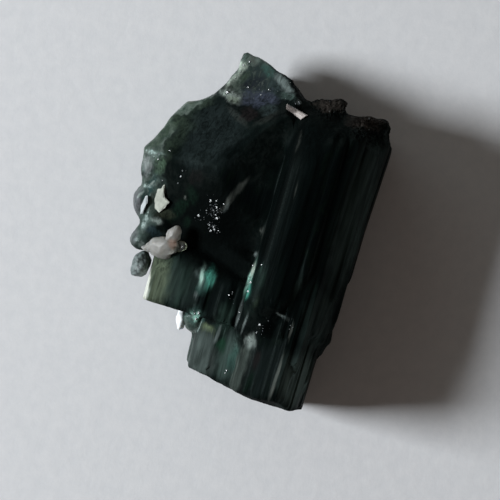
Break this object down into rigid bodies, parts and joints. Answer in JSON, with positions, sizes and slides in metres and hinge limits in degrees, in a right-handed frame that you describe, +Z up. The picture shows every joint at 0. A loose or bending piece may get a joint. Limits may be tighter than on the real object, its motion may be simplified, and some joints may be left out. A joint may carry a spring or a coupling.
{
  "type": "tourmaline crystal",
  "caption": "Dark green tourmaline crystal fragment: parallel ridged prisms grown together, with a pointed glassy shard, a broken ledge and small pale mineral grains.",
  "frame": {"origin": "centre of the bounding box in plan, on the plane that the crystal rests on", "axes": "+Y along the prisms towards the pointed shard, +X towards the high ridged side, +Z up from the resting face"},
  "size_m": [0.0214, 0.03, 0.0125],
  "materials": {
    "tourmaline": "gloss",
    "feldspar": "satin",
    "pale_mica": "satin",
    "white_mica": "satin",
    "rose_quartz": "gloss",
    "grey_grain": "satin",
    "clear_quartz": "gloss"
  },
  "bodies": {
    "root": {"tourmaline_crystal": "tourmaline", "feldspar_lump": "feldspar", "mica_flake": "pale_mica", "mica_sliver": "white_mica", "quartz_chip": "rose_quartz", "grey_grain": "grey_grain", "clear_chip": "clear_quartz"}
  },
  "joints": []
}
